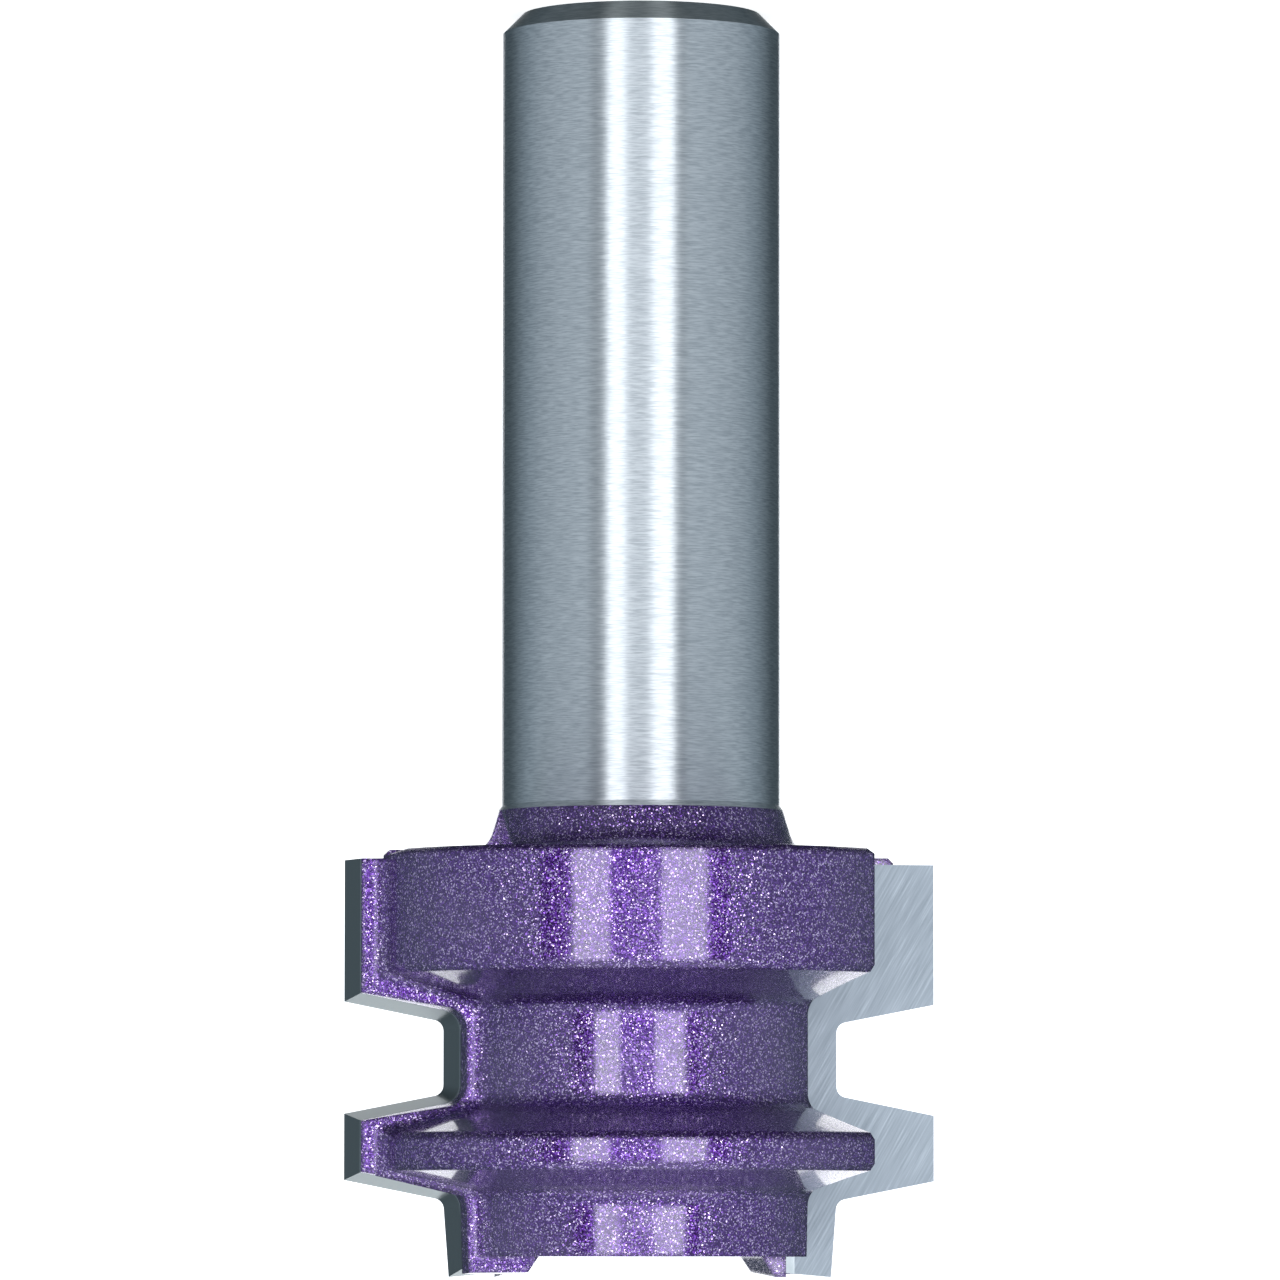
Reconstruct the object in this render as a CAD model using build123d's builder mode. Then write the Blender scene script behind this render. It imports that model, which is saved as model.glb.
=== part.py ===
from build123d import *
import math
import os

# Router bit with two brazed cutting tips and a round body that limits the depth of cut.
# The shank's end face is at z = 0 and the head points along +Z. All sizes are in millimetres.
# A tooth's cutting face lies in a plane through the axis. Tooth 1 is at +X and faces +Y,
# and tooth 2 is the same tooth turned half a turn.

os.makedirs("parts", exist_ok=True)

# Shank and neck
shank_radius = 6.35
shank_chamfer = 0.9
shank_length = 36.57
paint_ledge = 0.18
paint_ledge_width = 0.25
neck_height = 1.95
neck_flare_angle = 17.0
neck_fillet = 1.3

# Round body: an upper flange, a groove, a lower flange and a plain end
land_radius = 12.45
land_groove_radius = 8.4
land_end_radius = 8.3
upper_land_width = 5.48
upper_bevel_height = 1.42
land_groove_width = 4.62
lower_bevel_height = 1.33
lower_land_width = 1.57
end_bevel_height = 1.05
end_land_width = 2.87
land_edge_chamfer = 0.24
land_root_round = 0.8

# Cutting outline, on the face of a tip
cut_radius = 13.69
cut_groove_radius = 9.13
cut_end_radius = 8.87
tip_top_gap = 0.39
upper_cut_width = 6.42
cut_groove_width = 3.27
lower_cut_width = 3.01
end_cut_width = 3.48
cut_bevel_height = 0.9
cut_root_round = 0.5
end_dish = 5.0

# Teeth
relief_angle = 11.0
tip_thickness = 2.0
tip_edge_gap = 0.35
braze_thickness = 0.12
seam_width = 0.4
backing_step = 0.12
heel_angle = 9.0
heel_run_radius = 0.62
heel_run_sink = 0.04
heel_run_steps = (0.96, 0.84, 0.66, 0.45, 0.22, 0)
heel_corner_drop = 0.3
heel_corner_run = 1.6
tooth_end_angle = 3.7
end_slot_width = 11.25
end_slot_turn = 4.7
end_slot_flare_angle = 33.0
neck_flat_distance = 6.5
neck_flat_width = 4.1

# Gullets
gullet_root_radius = 6.82
gullet_cutter_radius = 7.78
gullet_cutter_lead = 2.65
gullet_runout = 0.1
gullet_edge_chamfer = 0.25

# Centre hole that the blank was turned on, in the cutting end
centre_hole_radius = 1.0
centre_hole_depth = 3.8
centre_cone_radius = 1.9
centre_cone_angle = 60

# Heights along the bit
head_start = shank_length + neck_height
upper_land_end = head_start + upper_land_width
land_groove_start = upper_land_end + upper_bevel_height
land_groove_end = land_groove_start + land_groove_width
lower_land_start = land_groove_end + lower_bevel_height
lower_land_end = lower_land_start + lower_land_width
end_start = lower_land_end + end_bevel_height
land_end = end_start + end_land_width

cut_start = head_start + tip_top_gap
upper_cut_end = cut_start + upper_cut_width
cut_groove_start = upper_cut_end + cut_bevel_height
cut_groove_end = cut_groove_start + cut_groove_width
lower_cut_start = cut_groove_end + cut_bevel_height
lower_cut_end = lower_cut_start + lower_cut_width
cut_end_start = lower_cut_end + cut_bevel_height
cut_end = cut_end_start + end_cut_width

# Depths and lengths that the cuts share
tip_inner_radius = gullet_root_radius + tip_edge_gap
seat_depth = tip_thickness + braze_thickness
seat_radius = tip_inner_radius - seam_width
blank_depth = 0.4 * cut_radius
gullet_centre = gullet_root_radius + math.sqrt(gullet_cutter_radius**2 - gullet_cutter_lead**2)
heel_run_inner = 0.1 * cut_radius
reach = 2 * cut_radius


def tooth_plane(side):
    """The plane of a tooth's cutting face: x runs outwards, y along the bit, z to the back."""
    return Plane(origin=(0, 0, 0), x_dir=(side, 0, 0), z_dir=(0, -side, 0))


def plan_plane(side, height):
    """A level plane across the bit, turned with the tooth."""
    return Plane(origin=(0, 0, height), x_dir=(side, 0, 0), z_dir=(0, 0, 1))


def heel_distance():
    """How far the plane of a tooth's milled back lies from the axis."""
    start_depth = seat_depth + backing_step
    start_radius = cut_radius - start_depth * math.tan(math.radians(relief_angle))
    lean = math.radians(heel_angle)
    return start_radius * math.sin(lean) + start_depth * math.cos(lean)


def heel_plane(side, depth=0):
    """The back of a tooth, leaning so that the tooth thickens towards the axis."""
    lean = math.radians(heel_angle)
    outward = Vector(side * math.sin(lean), -side * math.cos(lean), 0)
    return Plane(
        origin=outward * (heel_distance() + depth),
        x_dir=(side * math.cos(lean), side * math.sin(lean), 0),
        z_dir=outward,
    )


def end_plane(side):
    """The end of a tooth's steel, which falls away from the cutting face to the back."""
    lean = math.radians(tooth_end_angle)
    return Plane(
        origin=(0, 0, cut_end),
        x_dir=(side, 0, 0),
        z_dir=(0, -side * math.sin(lean), math.cos(lean)),
    )


def land_corners(start, gap):
    """Corners of the round body's outline from the height start to the end, moved out by gap."""
    bevel_angle = math.atan2(upper_bevel_height, land_radius - land_groove_radius)
    shift = gap * (1 - math.sin(bevel_angle)) / math.cos(bevel_angle)
    return [
        (land_radius + gap, start),
        (land_radius + gap, upper_land_end + shift),
        (land_groove_radius + gap, land_groove_start + shift),
        (land_groove_radius + gap, land_groove_end - shift),
        (land_radius + gap, lower_land_start - shift),
        (land_radius + gap, lower_land_end + shift),
        (land_groove_radius + gap, end_start + shift),
        (land_end_radius + gap, land_end),
    ]


def tooth_blank(side, overrun):
    """A tooth's full cutting outline, relieved behind the face, and overrun longer at the end."""
    end_height = cut_end + overrun
    with BuildPart() as blank:
        with BuildSketch(tooth_plane(side)) as outline:
            with BuildLine():
                Polyline(
                    (0, cut_start - blank_depth),
                    (cut_radius, cut_start - blank_depth),
                    (cut_radius, upper_cut_end),
                    (cut_groove_radius, cut_groove_start),
                    (cut_groove_radius, cut_groove_end),
                    (cut_radius, lower_cut_start),
                    (cut_radius, lower_cut_end),
                    (cut_groove_radius, cut_end_start),
                    (cut_end_radius, end_height),
                    (0, end_height - cut_end_radius * math.tan(math.radians(end_dish))),
                    close=True,
                )
            make_face()
            roots = outline.vertices().filter_by(
                lambda vertex: abs(vertex.X - cut_groove_radius) < 0.01
            )
            fillet(roots, radius=cut_root_round)
        extrude(amount=blank_depth, taper=relief_angle)
    return blank.part


def tooth_backing(side):
    """The steel of a tooth, with its milled back and flat ends."""
    with BuildPart() as backing:
        add(tooth_blank(side, blank_depth))
        split(bisect_by=heel_plane(side), keep=Keep.BOTTOM)
        split(bisect_by=end_plane(side), keep=Keep.BOTTOM)
        split(bisect_by=Plane.XY.offset(cut_start), keep=Keep.TOP)
    return backing.part


def heel_run(side):
    """The concave run that a round cutter leaves between a tooth's back and the round body."""
    with BuildPart() as run:
        for step in heel_run_steps:
            depth = (heel_run_steps[0] - step) * heel_run_radius
            gap = heel_run_radius * (1 - math.sqrt(1 - step**2)) - heel_run_sink
            distance = heel_distance() + depth
            corners = [(math.sqrt(r**2 - distance**2), z) for r, z in land_corners(cut_start, gap)]
            with BuildSketch(heel_plane(side, depth)):
                with BuildLine():
                    Polyline(
                        (heel_run_inner, cut_start),
                        *corners,
                        (heel_run_inner, land_end),
                        close=True,
                    )
                make_face()
        loft(ruled=True)
    return run.part


def heel_corner(side):
    """The wedge cut off the upper flange's edge where it drops towards a tooth's top."""
    back = heel_plane(side)
    end_view = Plane(
        origin=back.origin + back.x_dir * land_groove_radius, x_dir=back.z_dir, z_dir=-back.x_dir
    )
    with BuildPart() as corner:
        with BuildSketch(end_view):
            with BuildLine():
                Polyline(
                    (0, head_start),
                    (heel_corner_run, head_start),
                    (0, head_start + heel_corner_drop),
                    close=True,
                )
            make_face()
        extrude(amount=-reach)
    return corner.part


def seat_block(side, inner_radius, depth, top, height=reach):
    """The space outside inner_radius and down to depth behind a tooth's face."""
    with BuildPart() as block:
        with BuildSketch(plan_plane(side, top)):
            with Locations((inner_radius, 0)):
                Rectangle(reach, depth, align=(Align.MIN, Align.MAX))
        extrude(amount=height)
    return block.part


with BuildPart() as body:
    # Turned blank
    neck_lean = math.radians(neck_flare_angle)
    neck_rise = neck_height - neck_fillet * (1 - math.sin(neck_lean))
    neck_radius = shank_radius + paint_ledge + neck_rise * math.tan(neck_lean)
    with BuildSketch(Plane.XZ) as half_section:
        with BuildLine():
            neck_side = Polyline(
                (0, 0),
                (shank_radius - shank_chamfer, 0),
                (shank_radius, shank_chamfer),
                (shank_radius, shank_length - paint_ledge_width),
                (shank_radius + paint_ledge, shank_length),
                (neck_radius, shank_length + neck_rise),
            )
            neck_root = JernArc(neck_side @ 1, neck_side % 1, neck_fillet, neck_flare_angle - 90)
            Polyline(neck_root @ 1, *land_corners(head_start, 0), (0, land_end), (0, 0))
        make_face()
        rims = half_section.vertices().filter_by(lambda vertex: vertex.X > land_radius - 0.01)
        chamfer(rims, length=land_edge_chamfer)
        roots = half_section.vertices().filter_by(
            lambda vertex: abs(vertex.X - land_groove_radius) < 0.01 and vertex.Y > upper_land_end
        )
        fillet(roots, radius=land_root_round)
    revolve(axis=Axis.Z)

    for side in (1, -1):
        add(heel_corner(side), mode=Mode.SUBTRACT)
        add(tooth_backing(side))
        add(heel_run(side))

    # Slot milled across the end, between the standing ends of the teeth
    with BuildSketch(Plane.XY.offset(land_end)):
        Rectangle(end_slot_width, reach, rotation=-end_slot_turn)
    extrude(amount=reach, taper=-end_slot_flare_angle, mode=Mode.SUBTRACT)
    with Locations((0, 0, land_end)):
        CounterSinkHole(centre_hole_radius, centre_cone_radius, centre_hole_depth, centre_cone_angle)

    # Gullets ahead of the faces, the seats of the tips, and a flat on the neck beside each tooth
    for side in (1, -1):
        with BuildSketch(plan_plane(side, head_start - gullet_runout)):
            with Locations((gullet_centre, gullet_cutter_lead)):
                Circle(gullet_cutter_radius)
            Rectangle(2 * reach, reach, align=(Align.CENTER, Align.MAX), mode=Mode.SUBTRACT)
        extrude(amount=reach, mode=Mode.SUBTRACT)
        gullet_edge = body.edges().filter_by(GeomType.CIRCLE).filter_by(
            lambda edge: abs(edge.radius - gullet_cutter_radius) < 0.01
            and abs(edge.center().Z - head_start) < 0.01
            and edge.center().X * side > 0
        )
        chamfer(gullet_edge, length=gullet_edge_chamfer)
        add(seat_block(side, seat_radius, seat_depth, head_start - seat_depth), mode=Mode.SUBTRACT)
        add(
            seat_block(side, neck_flat_distance, neck_flat_width, shank_length, neck_height),
            mode=Mode.SUBTRACT,
        )

body.part.label = "body"
export_step(body.part, "parts/body.step")

for number, side in ((1, 1), (2, -1)):
    with BuildPart() as carbide_tip:
        add(tooth_blank(side, 0))
        add(seat_block(side, tip_inner_radius, tip_thickness, cut_start), mode=Mode.INTERSECT)
    carbide_tip.part.label = f"carbide_tip_{number}"
    export_step(carbide_tip.part, f"parts/carbide_tip_{number}.step")

    with BuildPart() as braze_joint:
        add(tooth_blank(side, 0))
        add(seat_block(side, seat_radius, seat_depth, cut_start), mode=Mode.INTERSECT)
        add(seat_block(side, tip_inner_radius, tip_thickness, head_start), mode=Mode.SUBTRACT)
    braze_joint.part.label = f"braze_joint_{number}"
    export_step(braze_joint.part, f"parts/braze_joint_{number}.step")
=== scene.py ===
import math

import bpy
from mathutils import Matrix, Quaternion, Vector

# Looks, light and camera for the router bit. Blender works in metres and sizes here are in
# millimetres times MM. The bit stands on its shank end and the photograph shows it head down,
# so the camera is rolled by half a turn.

MM = 0.001

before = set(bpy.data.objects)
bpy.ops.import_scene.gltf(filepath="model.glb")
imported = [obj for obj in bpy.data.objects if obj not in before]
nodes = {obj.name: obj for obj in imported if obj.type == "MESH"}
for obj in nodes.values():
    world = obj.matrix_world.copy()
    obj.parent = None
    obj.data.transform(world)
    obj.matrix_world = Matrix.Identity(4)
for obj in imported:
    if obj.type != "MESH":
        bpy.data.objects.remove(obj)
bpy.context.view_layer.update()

# Camera, from the outlines and rims in the photograph
CAMERA_AZIMUTH = math.radians(-79.0)
CAMERA_DISTANCE = 450.0 * MM
CAMERA_HEIGHT = 57.21 * MM
CAMERA_ROLL = math.radians(180.04)
CAMERA_CLIP_START = 10.0 * MM
AIM_HEIGHT = 28.72 * MM
AIM_SIDE = 0.043 * MM
IMAGE_PIXELS = 1280
FOCAL_PIXELS = 9861.5
SENSOR_WIDTH = 36.0

# Which faces get which finish. The body's finishes meet at two heights, and a tip's cutting face
# is one that looks almost straight along Y
CHAMFER_LINE = 0.9 * MM
PAINT_LINE = 36.57 * MM
LINE_TOLERANCE = 0.01 * MM
# The chamfer's index picks a darker copy of the steel, whose darkness is painted shade
PAINTED, GROUND, SHADED_TURNED = range(3)
CUTTING_FACE_NORMAL = 0.99

# Sizes in the finishes. A depth is the distance of a bump
FLAKE_SIZE = 0.055 * MM
PAINT_EDGE_ROUND = 0.3 * MM
PEEL_SIZE = 1.2 * MM
PEEL_DEPTH = 0.01 * MM
DUST_SIZE = 5.0 * MM
TURNING_MARK_WIDTH = 0.05 * MM
TURNING_MARK_LENGTH = 0.6 * MM
TURNING_MARK_DEPTH = 0.003 * MM
GRINDING_MARK_WIDTH = 0.08 * MM
GRINDING_MARK_LENGTH = 2.5 * MM
GRINDING_MARK_DEPTH = 0.004 * MM
GRINDING_MARK_ANGLE = math.radians(30.0)
SOLDER_WAVE_WIDTH = 0.5 * MM
SOLDER_WAVE_LENGTH = 1.5 * MM
SOLDER_WAVE_DEPTH = 0.03 * MM

# How far a flake leans from the surface, for the dullest and the brightest flake
LEAST_TILT = 0.1
MOST_TILT = 0.7

# Colours of the finishes. A ramp is a list of (place, colour)
FLAKE_RAMP = [
    (0.0, (0.022, 0.002, 0.070)),
    (0.5, (0.064, 0.011, 0.190)),
    (0.8, (0.200, 0.085, 0.430)),
    (1.0, (0.860, 0.700, 1.000)),
]
DUST_COLOUR = (0.18, 0.15, 0.24)
DUST_SHARE_RAMP = [(0.45, (0.0, 0.0, 0.0)), (0.8, (0.35, 0.35, 0.35))]
GROUND_STEEL_RAMP = [(0.35, (0.60, 0.645, 0.68)), (0.65, (0.88, 0.92, 0.95))]
# The chamfer's steel is the shank's steel with a darker ramp, which is painted shade
SHADED_TURNED_STEEL_RAMP = [(0.35, (0.31, 0.35, 0.36)), (0.65, (0.45, 0.49, 0.50))]
CARBIDE_RAMP = [
    (0.3, (0.40, 0.45, 0.50)),
    (0.55, (0.445, 0.495, 0.55)),
    (0.75, (0.51, 0.565, 0.62)),
]
CARBIDE_ROUGHNESS_RAMP = [(0.3, (0.65, 0.65, 0.65)), (0.7, (0.55, 0.55, 0.55))]
# The flanks' carbide colour is darker than the face's as painted shade
HONED_CARBIDE_SHADED_COLOUR = (0.30, 0.345, 0.355)
SOLDER_RAMP = [(0.3, (0.40, 0.45, 0.48)), (0.7, (0.53, 0.58, 0.61))]

# Studio. Spans are in degrees about the bit from the camera, to the photograph's right, and a
# light's level is the brightness of its face
STUDIO_DISTANCE = 600.0 * MM
BOX_LOW = -125.0 * MM
BOX_HIGH = 160.0 * MM
BOX_LEVEL = 4.6
LEFT_BOX_SPAN = (-28.0, -12.6)
RIGHT_BOX_SPAN = (8.7, 27.4)
GAP_SPAN = (LEFT_BOX_SPAN[1], RIGHT_BOX_SPAN[0])
SOFTBOXES = {
    "left_softbox": (LEFT_BOX_SPAN, BOX_LOW, BOX_HIGH),
    "right_softbox": (RIGHT_BOX_SPAN, BOX_LOW, BOX_HIGH),
    "lower_gap_panel": (GAP_SPAN, -120.0 * MM, -65.0 * MM),
    "upper_gap_panel": (GAP_SPAN, 98.5 * MM, 160.0 * MM),
}
FLAG_SPANS = {"left_flag": (-42.0, -30.0), "right_flag": (29.0, 37.0)}
FLAG_COLOUR = (0.05, 0.05, 0.05)
TOP_LIGHT_SIZE = 500.0 * MM
TOP_LIGHT_HEIGHT = 600.0 * MM
TOP_LIGHT_LEVEL = 0.6

# Floor and backdrop. A glow is an emission that only the camera and reflections see, where 1 is
# white
WHITE = (1.0, 1.0, 1.0)
PALE_GREY = (0.8, 0.8, 0.8)
FLOOR_HALF_SIZE = 3000.0 * MM
FLOOR_GLOW = 0.8
BACKDROP_SPAN = (167.0, 193.0)
BACKDROP_LOW = -300.0 * MM
BACKDROP_HIGH = 500.0 * MM
BACKDROP_GLOW = 1.0

# The room's colour, from straight behind the bit at 0 to straight behind the camera at 1. Its
# strength falls from 1 to ROOM_LEAST where a direction's height goes down from the second number
# of ROOM_DIMMING to the first
ROOM_RAMP = [
    (0.12, (0.075, 0.100, 0.115)),
    (0.32, (0.30, 0.365, 0.415)),
    (0.5, (0.49, 0.56, 0.62)),
    (0.85, (0.68, 0.76, 0.83)),
    (0.94, (0.68, 0.76, 0.83)),
    (0.98, (0.22, 0.28, 0.36)),
]
ROOM_DIMMING = (-0.95, -0.05)
ROOM_LEAST = 0.1


def studio_azimuth(angle):
    """The azimuth of a direction that lies angle degrees to the photograph's right."""
    return CAMERA_AZIMUTH - math.radians(angle)


def polar(azimuth, distance, height):
    """The point at a distance from the bit's axis, in a direction and at a height."""
    return Vector((distance * math.cos(azimuth), distance * math.sin(azimuth), height))


def opaque(colour):
    return (*colour, 1)


def make_camera():
    """The camera that took the photograph."""
    data = bpy.data.cameras.new("camera")
    data.sensor_width = SENSOR_WIDTH
    data.lens = FOCAL_PIXELS / IMAGE_PIXELS * SENSOR_WIDTH
    data.clip_start = CAMERA_CLIP_START
    camera = bpy.data.objects.new("camera", data)
    bpy.context.scene.collection.objects.link(camera)
    camera.location = polar(CAMERA_AZIMUTH, CAMERA_DISTANCE, CAMERA_HEIGHT)
    aim = polar(CAMERA_AZIMUTH + math.pi / 2, AIM_SIDE, AIM_HEIGHT)
    upright = (aim - camera.location).to_track_quat("-Z", "Y")
    camera.rotation_mode = "QUATERNION"
    camera.rotation_quaternion = upright @ Quaternion((0, 0, 1), CAMERA_ROLL)
    bpy.context.scene.camera = camera


def set_inputs(node, **inputs):
    """Set inputs that are named by their socket, with spaces written as underscores."""
    for name, value in inputs.items():
        node.inputs[name.replace("_", " ")].default_value = value


def add_node(tree, kind, **inputs):
    node = tree.nodes.new(kind)
    set_inputs(node, **inputs)
    return node


def new_material(name, **inputs):
    """A material and its shader, with the inputs that are the same all over the surface."""
    material = bpy.data.materials.new(name)
    material.use_nodes = True
    shader = material.node_tree.nodes["Principled BSDF"]
    set_inputs(shader, **inputs)
    return material, shader


def add_ramp(tree, factor, stops):
    """A colour ramp over factor, from a list of (place, colour)."""
    ramp = tree.nodes.new("ShaderNodeValToRGB")
    elements = ramp.color_ramp.elements
    while len(elements) < len(stops):
        elements.new(0.5)
    for element, (place, colour) in zip(elements, stops):
        element.position = place
        element.color = opaque(colour)
    tree.links.new(factor, ramp.inputs["Fac"])
    return ramp.outputs["Color"]


def add_mapped_noise(tree, sizes, detail, rotation=(0, 0, 0)):
    """Noise in the part's own space, with features of the three given sizes along turned axes."""
    place = tree.nodes.new("ShaderNodeTexCoord")
    turn = add_node(tree, "ShaderNodeMapping", Rotation=rotation)
    stretch = add_node(tree, "ShaderNodeMapping", Scale=[1 / size for size in sizes])
    noise = add_node(tree, "ShaderNodeTexNoise", Scale=1.0, Detail=detail)
    tree.links.new(place.outputs["Object"], turn.inputs["Vector"])
    tree.links.new(turn.outputs["Vector"], stretch.inputs["Vector"])
    tree.links.new(stretch.outputs["Vector"], noise.inputs["Vector"])
    return noise.outputs["Fac"]


def add_vector_math(tree, operation, first, second=None, scale=None):
    """Vector maths on the output first, with a second output or tuple, or an output as scale."""
    node = tree.nodes.new("ShaderNodeVectorMath")
    node.operation = operation
    tree.links.new(first, node.inputs[0])
    if isinstance(second, tuple):
        node.inputs[1].default_value = second
    elif second is not None:
        tree.links.new(second, node.inputs[1])
    if scale is not None:
        tree.links.new(scale, node.inputs["Scale"])
    return node.outputs["Vector"]


def add_bump(tree, height, strength, depth):
    bump = add_node(tree, "ShaderNodeBump", Strength=strength, Distance=depth)
    tree.links.new(height, bump.inputs["Height"])
    return bump


def flake_paint():
    """Purple paint with metal flakes under a clear coat. Bright flakes lean over most."""
    material, shader = new_material(
        "coated_steel_flake",
        Metallic=0.85, Roughness=0.2, Coat_Weight=1.0, Coat_Roughness=0.09, Coat_IOR=1.58,
    )
    tree = material.node_tree
    place = tree.nodes.new("ShaderNodeTexCoord")
    flakes = add_node(tree, "ShaderNodeTexVoronoi", Scale=1 / FLAKE_SIZE)
    tree.links.new(place.outputs["Object"], flakes.inputs["Vector"])
    shade = tree.nodes.new("ShaderNodeTexWhiteNoise")
    tree.links.new(flakes.outputs["Color"], shade.inputs["Vector"])

    flake_colour = add_ramp(tree, shade.outputs["Value"], FLAKE_RAMP)
    dust = add_mapped_noise(tree, (DUST_SIZE, DUST_SIZE, DUST_SIZE), detail=3.0)
    dust_share = add_ramp(tree, dust, DUST_SHARE_RAMP)
    dusty = tree.nodes.new("ShaderNodeMix")
    dusty.data_type = "RGBA"
    set_inputs(dusty, B=opaque(DUST_COLOUR))
    tree.links.new(dust_share, dusty.inputs["Factor"])
    tree.links.new(flake_colour, dusty.inputs["A"])
    tree.links.new(dusty.outputs["Result"], shader.inputs["Base Color"])

    soft_edge = add_node(tree, "ShaderNodeBevel", Radius=PAINT_EDGE_ROUND)
    centred = add_vector_math(tree, "SUBTRACT", flakes.outputs["Color"], (0.5, 0.5, 0.5))
    spread = add_node(tree, "ShaderNodeMapRange", To_Min=LEAST_TILT, To_Max=MOST_TILT)
    tree.links.new(shade.outputs["Value"], spread.inputs["Value"])
    tilt = add_vector_math(tree, "SCALE", centred, scale=spread.outputs["Result"])
    tilted = add_vector_math(tree, "ADD", soft_edge.outputs["Normal"], tilt)
    flake_normal = add_vector_math(tree, "NORMALIZE", tilted)
    tree.links.new(flake_normal, shader.inputs["Normal"])

    peel = add_mapped_noise(tree, (PEEL_SIZE, PEEL_SIZE, PEEL_SIZE), detail=1.0)
    peel_bump = add_bump(tree, peel, 0.5, PEEL_DEPTH)
    tree.links.new(soft_edge.outputs["Normal"], peel_bump.inputs["Normal"])
    tree.links.new(peel_bump.outputs["Normal"], shader.inputs["Coat Normal"])
    return material


def turned_steel(name, colours):
    """Steel turned or ground round and round, so its reflections spread along the shank."""
    material, shader = new_material(
        name, Metallic=1.0, Roughness=0.4, Anisotropic=1.0, Anisotropic_Rotation=0.25,
    )
    tree = material.node_tree
    mark_sizes = (TURNING_MARK_LENGTH, TURNING_MARK_LENGTH, TURNING_MARK_WIDTH)
    marks = add_mapped_noise(tree, mark_sizes, detail=4.0)
    tree.links.new(add_ramp(tree, marks, colours), shader.inputs["Base Color"])
    bump = add_bump(tree, marks, 0.4, TURNING_MARK_DEPTH)
    tree.links.new(bump.outputs["Normal"], shader.inputs["Normal"])
    tangent = tree.nodes.new("ShaderNodeTangent")
    tangent.direction_type = "RADIAL"
    tangent.axis = "Z"
    tree.links.new(tangent.outputs["Tangent"], shader.inputs["Tangent"])
    return material


def ground_carbide(name, side):
    """Carbide, with straight grinding marks that slant across the face of the tip."""
    material, shader = new_material(name, Metallic=1.0)
    tree = material.node_tree
    mark_sizes = (GRINDING_MARK_WIDTH, GRINDING_MARK_WIDTH, GRINDING_MARK_LENGTH)
    slant = (0, side * GRINDING_MARK_ANGLE, 0)
    marks = add_mapped_noise(tree, mark_sizes, detail=3.0, rotation=slant)
    tree.links.new(add_ramp(tree, marks, CARBIDE_RAMP), shader.inputs["Base Color"])
    roughness = add_ramp(tree, marks, CARBIDE_ROUGHNESS_RAMP)
    tree.links.new(roughness, shader.inputs["Roughness"])
    bump = add_bump(tree, marks, 0.2, GRINDING_MARK_DEPTH)
    tree.links.new(bump.outputs["Normal"], shader.inputs["Normal"])
    return material


def honed_shaded_carbide():
    """Carbide as the relieved flanks of a tip show it, smoother than its face, and darker than it
    with painted shade.
    """
    material, _ = new_material(
        "carbide_honed_shaded", Base_Color=opaque(HONED_CARBIDE_SHADED_COLOUR), Metallic=1.0, Roughness=0.35,
    )
    return material


def silver_solder():
    """Solder that ran and set with a slightly wavy skin."""
    material, shader = new_material("solder_silver", Metallic=1.0, Roughness=0.45)
    tree = material.node_tree
    wave_sizes = (SOLDER_WAVE_WIDTH, SOLDER_WAVE_WIDTH, SOLDER_WAVE_LENGTH)
    waves = add_mapped_noise(tree, wave_sizes, detail=2.0)
    tree.links.new(add_ramp(tree, waves, SOLDER_RAMP), shader.inputs["Base Color"])
    bump = add_bump(tree, waves, 0.4, SOLDER_WAVE_DEPTH)
    tree.links.new(bump.outputs["Normal"], shader.inputs["Normal"])
    return material


def set_materials(piece, *materials):
    piece.data.materials.clear()
    for material in materials:
        piece.data.materials.append(material)


def dress_body(body):
    """Paint on the head, bare ground steel below, and on the end chamfer turned steel darkened
    with painted shade.
    """
    ground = turned_steel("coated_steel_ground", GROUND_STEEL_RAMP)
    turned = turned_steel("coated_steel_turned_shaded", SHADED_TURNED_STEEL_RAMP)
    set_materials(body, flake_paint(), ground, turned)
    vertices = body.data.vertices
    for face in body.data.polygons:
        highest = max(vertices[index].co.z for index in face.vertices)
        if highest < CHAMFER_LINE + LINE_TOLERANCE:
            face.material_index = SHADED_TURNED
        elif highest < PAINT_LINE + LINE_TOLERANCE:
            face.material_index = GROUND
        else:
            face.material_index = PAINTED


def dress_tips_and_joints():
    """Grinding marks on the cutting faces, a smoother finish darkened with painted shade on the
    flanks, and the solder.
    """
    flank = honed_shaded_carbide()
    solder = silver_solder()
    for number, side in ((1, 1), (2, -1)):
        tip = nodes[f"carbide_tip_{number}"]
        set_materials(tip, ground_carbide(f"carbide_ground_{number}", side), flank)
        for face in tip.data.polygons:
            face.material_index = 0 if abs(face.normal.y) > CUTTING_FACE_NORMAL else 1
        set_materials(nodes[f"braze_joint_{number}"], solder)


def add_softbox(name, span, low, high):
    """A soft light that fills the angles of span between two heights."""
    centre = (span[0] + span[1]) / 2
    half_width = STUDIO_DISTANCE * math.tan(math.radians(span[1] - span[0]) / 2)
    data = bpy.data.lights.new(name, "AREA")
    data.shape = "RECTANGLE"
    data.size = 2 * half_width
    data.size_y = high - low
    data.energy = BOX_LEVEL * math.pi * data.size * data.size_y
    box = bpy.data.objects.new(name, data)
    bpy.context.scene.collection.objects.link(box)
    box.location = polar(studio_azimuth(centre), STUDIO_DISTANCE, (low + high) / 2)
    target = Vector((0, 0, box.location.z))
    box.rotation_euler = (target - box.location).to_track_quat("-Z", "Y").to_euler()


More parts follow.
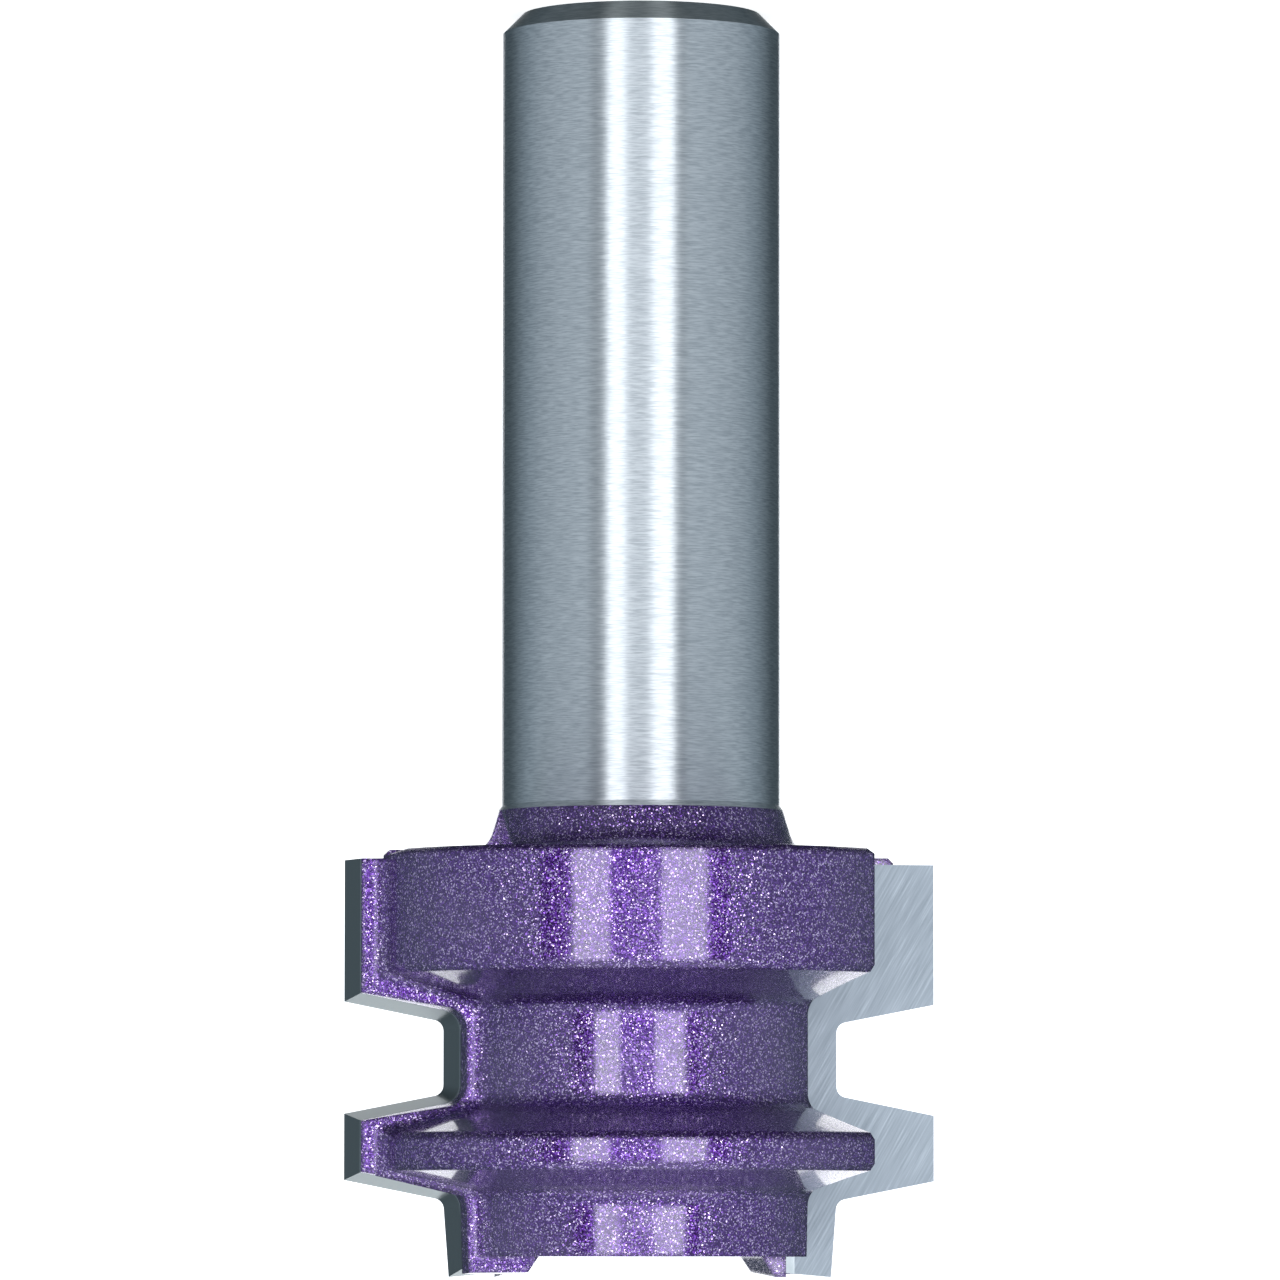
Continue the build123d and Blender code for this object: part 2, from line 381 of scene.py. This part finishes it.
def add_top_light():
    """A wide light overhead, which gives the floor its soft contact shadow."""
    data = bpy.data.lights.new("top_light", "AREA")
    data.size = TOP_LIGHT_SIZE
    data.energy = TOP_LIGHT_LEVEL * math.pi * data.size**2
    light = bpy.data.objects.new("top_light", data)
    bpy.context.scene.collection.objects.link(light)
    light.location = (0, 0, TOP_LIGHT_HEIGHT)


def add_plane(name, corners, material):
    mesh = bpy.data.meshes.new(name)
    mesh.from_pydata(corners, [], [(0, 1, 2, 3)])
    mesh.materials.append(material)
    plane = bpy.data.objects.new(name, mesh)
    bpy.context.scene.collection.objects.link(plane)
    return plane


def add_card(name, span, low, high, material):
    """An upright card that fills the angles of span between two heights."""
    near, far = (studio_azimuth(angle) for angle in span)
    corners = [
        polar(near, STUDIO_DISTANCE, low),
        polar(far, STUDIO_DISTANCE, low),
        polar(far, STUDIO_DISTANCE, high),
        polar(near, STUDIO_DISTANCE, high),
    ]
    return add_plane(name, corners, material)


def link_glow(tree, level, socket):
    """Drive an emission strength with level for camera and glossy rays, and with 0 for others."""
    path = tree.nodes.new("ShaderNodeLightPath")
    seen = tree.nodes.new("ShaderNodeMath")
    seen.operation = "MAXIMUM"
    tree.links.new(path.outputs["Is Camera Ray"], seen.inputs[0])
    tree.links.new(path.outputs["Is Glossy Ray"], seen.inputs[1])
    strength = tree.nodes.new("ShaderNodeMath")
    strength.operation = "MULTIPLY"
    strength.inputs[1].default_value = level
    tree.links.new(seen.outputs["Value"], strength.inputs[0])
    tree.links.new(strength.outputs["Value"], socket)


def add_floor():
    """A pale floor, lifted almost to white for the camera, so that the shadow stays faint."""
    material, shader = new_material(
        "floor_white", Base_Color=opaque(PALE_GREY), Roughness=0.9, Emission_Color=opaque(WHITE),
    )
    link_glow(material.node_tree, FLOOR_GLOW, shader.inputs["Emission Strength"])
    low, high = -FLOOR_HALF_SIZE, FLOOR_HALF_SIZE
    corners = [(low, low, 0), (high, low, 0), (high, high, 0), (low, high, 0)]
    floor = add_plane("floor", corners, material)
    floor.visible_glossy = False
    floor.visible_shadow = False


def add_backdrop():
    """A white card behind the bit, which the outer edges of the metal reflect."""
    material, shader = new_material(
        "backdrop_white", Base_Color=opaque(PALE_GREY), Emission_Color=opaque(WHITE),
    )
    link_glow(material.node_tree, BACKDROP_GLOW, shader.inputs["Emission Strength"])
    card = add_card("backdrop", BACKDROP_SPAN, BACKDROP_LOW, BACKDROP_HIGH, material)
    card.visible_shadow = False


def add_flags():
    """Dark cards beside the softboxes, which draw a dark line along each bright reflection."""
    material, _ = new_material("flag_black", Base_Color=opaque(FLAG_COLOUR), Roughness=0.9)
    for name, span in FLAG_SPANS.items():
        add_card(name, span, BOX_LOW, BOX_HIGH, material)


def make_world():
    """A light room with a dark far end, a dark patch behind the camera and a dim lower half.

    The camera itself sees plain white.
    """
    world = bpy.data.worlds.new("studio")
    bpy.context.scene.world = world
    world.use_nodes = True
    tree = world.node_tree
    room = tree.nodes["Background"]
    direction = tree.nodes.new("ShaderNodeTexCoord")
    front = tree.nodes.new("ShaderNodeVectorMath")
    front.operation = "DOT_PRODUCT"
    front.inputs[1].default_value = polar(CAMERA_AZIMUTH, 1.0, 0.0)
    tree.links.new(direction.outputs["Generated"], front.inputs[0])
    place = add_node(tree, "ShaderNodeMapRange", From_Min=-1.0)
    tree.links.new(front.outputs["Value"], place.inputs["Value"])
    tree.links.new(add_ramp(tree, place.outputs["Result"], ROOM_RAMP), room.inputs["Color"])

    height = tree.nodes.new("ShaderNodeSeparateXYZ")
    tree.links.new(direction.outputs["Generated"], height.inputs["Vector"])
    low, high = ROOM_DIMMING
    strength = add_node(tree, "ShaderNodeMapRange", From_Min=low, From_Max=high, To_Min=ROOM_LEAST)
    tree.links.new(height.outputs["Z"], strength.inputs["Value"])
    tree.links.new(strength.outputs["Result"], room.inputs["Strength"])

    white = add_node(tree, "ShaderNodeBackground", Color=opaque(WHITE), Strength=1.0)
    path = tree.nodes.new("ShaderNodeLightPath")
    mix = tree.nodes.new("ShaderNodeMixShader")
    tree.links.new(path.outputs["Is Camera Ray"], mix.inputs["Fac"])
    tree.links.new(room.outputs["Background"], mix.inputs[1])
    tree.links.new(white.outputs["Background"], mix.inputs[2])
    tree.links.new(mix.outputs["Shader"], tree.nodes["World Output"].inputs["Surface"])


make_camera()
dress_body(nodes["body"])
dress_tips_and_joints()
for name, (span, low, high) in SOFTBOXES.items():
    add_softbox(name, span, low, high)
add_flags()
add_top_light()
add_floor()
add_backdrop()
make_world()
bpy.context.scene.view_settings.view_transform = "Standard"
